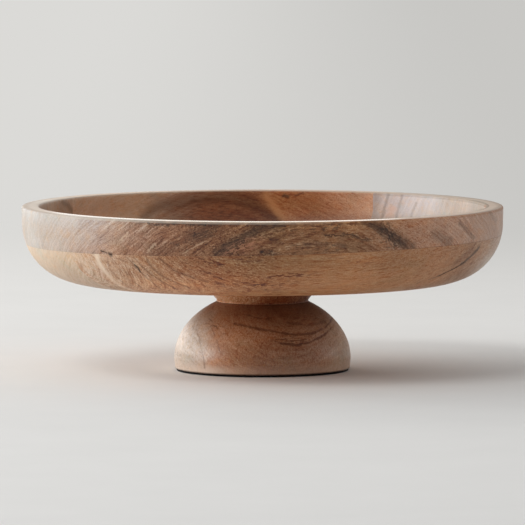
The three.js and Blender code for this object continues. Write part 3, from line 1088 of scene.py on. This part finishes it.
def foot_rings(x, y, z):
    right = rightward(x, y, z) - 19
    away = backward(x, y, z)
    return (right * right * 0.64 + (z - 48) * (z - 48) + away * away * 0.05).root()


# %% [markdown]
# The grain isn't equally strong everywhere. Pale ends show it least, and so do the parts that were sanded most.

# %% Where the grain is strong, plain or glossy
def rim_front_contrast(x, y, z):
    """The pale wood at the left end shows its grain least, and the right half less than the left."""
    left = (x.between(-176, -95) * 0.72 + 0.40) * (1 - hump(x, -92, 24) * 0.15)
    return left * (1 - x.between(-60, -15) * 0.32) * (1 - x.between(100, 145) * 0.5)


def base_front_contrast(x, y, z):
    wall = outside(x, y, z) * 0.45 + 0.55
    return (x.between(-180, -122) * 0.70 + 0.42) * (1 - x.between(-62, -8) * 0.46) * wall


def quiet_left(x, y, z):
    return x.between(-176, -112) * 0.62 + 0.38


def quiet_back(x, y, z):
    return x.between(-90, 20) * 0.35 + 0.45


def crown_plain(x, y, z):
    """Where the rings lie along the wall, the flakes would spread into flames."""
    return 1 - hump(x, 0, 60) * 0.65


def under_plain(x, y, z):
    return 1 - hump(x, -20, 75) * 0.6


def foot_gloss(x, y, z):
    """The foot is rubbed shiniest near the table."""
    return z.between(12, 26) * 0.18 + rightward(x, y, z).between(15, 50) * 0.10 + 0.28


# %% [markdown]
# Tones are given by place along each board in millimetres, from the left end to the right. On neck and foot they run
# from left to right in the view. Sapwood is pale and greyish, heartwood brown. The neck's tones also carry painted
# light, pale on the window side and dark on the right; the foot's pale grey left and the near-white right end of the
# middle boards carry painted sheen.

# %% Tones and finish of each board
rim_front_tones = (
    (-178, (164, 154, 146)), (-164, (169, 153, 142)), (-150, (151, 126, 112)), (-138, (155, 121, 98)),
    (-110, (127, 83, 55)), (-67, (116, 73, 42)), (-30, (140, 95, 59)), (-4, (140, 96, 61)), (24, (156, 108, 69)),
    (72, (180, 131, 100)), (116, (189, 145, 118)), (140, (176, 136, 112)), (165, (174, 139, 118)),
)
# The near-white tones from x 122 to 160 are pale sapwood with painted sheen.
rim_middle_tones = (
    (-178, (168, 161, 155)), (-165, (169, 148, 132)), (-140, (178, 142, 114)), (-100, (178, 138, 108)),
    (100, (190, 168, 158)), (122, (190, 175, 170)), (134, (198, 188, 187)), (148, (194, 189, 188)),
    (160, (182, 171, 162)), (178, (182, 164, 150)),
)
rim_back_tones = (
    (-150, (188, 148, 116)), (-106, (194, 150, 116)), (-60, (200, 160, 126)), (-30, (184, 146, 120)),
    (0, (164, 106, 70)), (36, (138, 82, 46)), (50, (164, 100, 55)), (80, (154, 96, 57)), (116, (186, 138, 106)),
)
base_front_tones = (
    (-175, (193, 175, 154)), (-160, (198, 168, 141)), (-145, (187, 152, 126)), (-126, (176, 135, 104)),
    (-107, (176, 127, 92)), (-88, (165, 110, 73)), (-45, (165, 111, 69)), (22, (190, 132, 86)),
    (97, (183, 129, 89)), (120, (163, 116, 80)), (145, (176, 133, 101)), (168, (180, 148, 128)),
)
base_middle_tones = (
    (-178, (190, 175, 157)), (-168, (198, 174, 149)), (-150, (186, 159, 134)), (-60, (176, 128, 92)),
    (120, (174, 126, 90)), (178, (178, 150, 132)),
)
base_back_tones = (-178, (184, 150, 120)), (-60, (170, 122, 86)), (60, (174, 126, 88)), (178, (180, 140, 108))
# Painted light: the neck's tones are pale on the window side and dark on the right.
neck_tones_with_painted_light = (
    (-46, (228, 176, 130)), (-28, (214, 152, 106)), (-16, (184, 124, 82)), (0, (152, 92, 56)), (46, (122, 70, 45)),
)
upright = (1.0, 1.0, 0.3)
# The pale grey left end of the foot's tones is pale wood with painted sheen.
foot_tones = (
    (-65, (184, 166, 151)), (-50, (184, 166, 152)), (-41, (184, 156, 136)), (-34, (180, 132, 100)),
    (-21, (174, 120, 84)), (0, (159, 105, 72)), (20, (159, 111, 79)), (41, (165, 119, 90)), (56, (178, 136, 102)),
    (65, (172, 134, 106)),
)

woods = {
    "rim_front": (rim_front_rings, rim_front_tones, rim_front_marks,
                  {"contrast": rim_front_contrast, "rim": True, "plain": crown_plain}),
    "rim_middle": (rim_middle_rings, rim_middle_tones, rim_middle_marks,
                   {"bands": 0.5, "strands": 0.3, "rim": True}),
    "rim_back": (rim_back_rings, rim_back_tones, rim_back_marks,
                 {"bands": 0.7, "strands": 0.6, "contrast": quiet_back, "rim": True}),
    "base_front": (base_front_rings, base_front_tones, base_front_marks_and_painted_light,
                   {"bands": 0.55, "contrast": base_front_contrast, "bend": 6, "plain": under_plain, "side": outside}),
    "base_middle": (base_middle_rings, base_middle_tones, None,
                    {"bands": 0.8, "strands": 0.7, "contrast": quiet_left}),
    "base_back": (base_back_rings, base_back_tones, None, {"bands": 0.7, "strands": 0.5}),
    "neck": (base_middle_rings, neck_tones_with_painted_light, None, {"along": upright, "tone_axis": rightward}),
    "foot": (foot_rings, foot_tones, foot_marks_and_painted_light,
             {"bands": 0.45, "strands": 0.6, "along": upright, "tone_axis": rightward, "gloss": foot_gloss}),
}
finishes = {}
for seed, (board_name, (rings, tones, marks, options)) in enumerate(woods.items(), 1):
    finishes[board_name + "_wood"] = wood("oiled_wood_" + board_name, rings, tones, seed, marks, **options)
print("wood finishes:", ", ".join(finishes))

# %% [markdown]
# The pad is matt black rubber with a fine pebbled skin, grey with dust in its hollows. The screw and washer are
# zinc-plated steel: bright, with cloudy patches, fine scratches round the axis and a faint straw tint.

# %% Rubber and steel
def rubber():
    finish = Finish("black_rubber")
    place = finish.place()
    pebbles = finish.add("ShaderNodeTexVoronoi", sockets={"Vector": place, "Scale": 1.6}, output="Distance")
    wear = finish.noise(place, 0.06, 3.0, 0.6)
    grit = finish.noise(place, 2.2, 2.0, 0.6)
    colour = finish.mix(tone(5, 5, 5), tone(30, 29, 28), pebbles.between(0.45, 0.75) * wear.between(0.45, 0.7) * 0.6)
    return finish.surface(colour, wear * 0.1 + 0.85, 1.0 - pebbles + grit * 0.3, 0.06, Specular_IOR_Level=0.2)


def zinc_steel():
    finish = Finish("zinc_steel")
    place = finish.place()
    x, y, z = finish.parts(place)
    cloud = finish.noise(place, 0.35, 3.0, 0.6)
    round_axis = finish.add("ShaderNodeCombineXYZ", sockets={"X": (x * x + y * y).root() * 6, "Y": z * 5})
    scratch = finish.noise(round_axis, 1.0, 2.0, 0.7)
    spots = finish.noise(place, 1.4, 2.0).between(0.66, 0.74)
    colour = finish.mix(tone(188, 190, 192), tone(206, 198, 176), cloud.between(0.4, 0.65))
    colour = finish.mix(colour, tone(120, 112, 100), spots * 0.6)
    roughness = cloud * 0.18 + scratch * 0.14 + spots * 0.3 + 0.16
    return finish.surface(colour, roughness, scratch + cloud * 0.4, 0.015, Metallic=1.0)


finishes["pad_rubber"] = rubber()
finishes["steel"] = zinc_steel()
for piece, slot in pieces:
    piece.data.materials.append(finishes[slot])

# %% [markdown]
# The studio is a sheet of pale paper that runs far behind the bowl. Near the bowl it is lit and shaded like any
# surface, so it keeps the soft shadow. Further off, camera, glossy and transmission rays see a glowing paper tone
# instead, with painted shade that makes it a little darker on the right, so the glow also shows in the wood's
# reflections. Diffuse rays still meet plain paper, so the diffuse light on the wood stays the same.

# %% Floor and backdrop
paper_half = 30.0


def paper_floor():
    mesh = bmesh.new()
    corners = [mesh.verts.new((x * paper_half, y * paper_half, 0)) for x, y in ((-1, -1), (1, -1), (1, 1), (-1, 1))]
    mesh.faces.new(corners)
    floor = linked("studio_paper", mesh_data("studio_paper", mesh))
    floor.data.materials.append(paper_finish())


def paper_finish():
    finish = Finish("pale_paper")
    place = finish.place()
    x, y, z = finish.parts(place)
    distance = (x * x + y * y).root()
    mottle = finish.noise(place, 0.012, 4.0, 0.6)
    near = finish.mix(tone(219, 219, 218), tone(225, 225, 224), mottle)
    sockets = {"Base Color": near, "Roughness": 0.9, "Specular IOR Level": 0.1}
    paper = finish.add("ShaderNodeBsdfPrincipled", sockets=sockets)
    far_tone = finish.mix(tone(219, 218, 215), tone(200, 199, 196), rightward(x, y, z).between(-260, 330))
    sockets = {"Base Color": (0, 0, 0, 1), "Specular IOR Level": 0.0, "Emission Color": far_tone}
    backdrop = finish.add("ShaderNodeBsdfPrincipled", sockets={**sockets, "Emission Strength": 1.0})
    outputs = finish.add("ShaderNodeLightPath").socket.node.outputs
    seen, shine, through = [
        Signal(finish, outputs[f"Is {kind} Ray"]) for kind in ("Camera", "Glossy", "Transmission")
    ]
    far = backward(x, y, z).between(350, 1500).most(distance.between(1600, 3200))
    factor = far * seen.most(shine).most(through)
    shader = finish.add("ShaderNodeMixShader", sockets={0: factor, 1: paper, 2: backdrop})
    finish.add("ShaderNodeOutputMaterial", sockets={"Surface": shader})
    return finish.material


paper_floor()

# %% [markdown]
# One wide, low window stands to the left and slightly behind. Pale walls all round fill the shadows, and the wall
# behind the bowl shines in the flat rim, which adds a reflection to the rim's painted highlight. The camera stands far
# off with a long lens, a little above the rim.

# %% Lamps, world and camera
world = bpy.data.worlds.new("soft_room")
bpy.context.scene.world = world
world.use_nodes = True
room = world.node_tree.nodes["Background"]
room.inputs["Color"].default_value = (0.985, 0.99, 1.0, 1.0)
room.inputs["Strength"].default_value = 0.36


def lamp(name, bearing, height, size, watts, colour=(1, 1, 1)):
    """A soft lamp aimed at the bowl. bearing is 0 on the camera's side and grows to the right, in degrees."""
    turn, lift = math.radians(bearing), math.radians(height)
    away = lamp_distance * math.cos(lift)
    place = middle + in_view(away * math.sin(turn), -away * math.cos(turn), lamp_distance * math.sin(lift))
    light = bpy.data.lights.new(name, "AREA")
    light.shape = "RECTANGLE"
    light.size, light.size_y = size
    light.energy = watts
    light.color = colour
    holder = linked(name, light)
    holder.location = place
    holder.rotation_euler = (middle - place).to_track_quat("-Z", "Y").to_euler()


lamp_distance = 3.4
middle = Vector((0, 0, 0.07))
lamp("window", -110, 20, (7.5, 2.0), 190, (1.0, 0.985, 0.96))
lamp("window_glare", -86, 7, (1.5, 1.1), 15, (0.97, 0.985, 1.0))
lamp("skylight", -40, 50, (1.7, 1.1), 28, (1.0, 0.99, 0.97))
lamp("right_wall", 105, 12, (1.7, 1.1), 10)
lamp("wall_behind", 180, 16, (6.0, 2.0), 32, (1.0, 0.93, 0.84))

camera_away = 5.673
camera_height = 0.5133
camera_pitch = 0.0763
focal_pixels = 7691.0
picture_pixels = 525
sensor_width = 36.0

camera_data = bpy.data.cameras.new("camera")
camera_data.sensor_width = sensor_width
camera_data.lens = focal_pixels / picture_pixels * sensor_width
camera_data.clip_end = 100
camera = linked("camera", camera_data)
camera.location = in_view(0, -camera_away, camera_height)
camera.rotation_euler = (quarter - camera_pitch, 0, -view_turn)
bpy.context.scene.camera = camera
bpy.context.scene.view_settings.view_transform = "Standard"
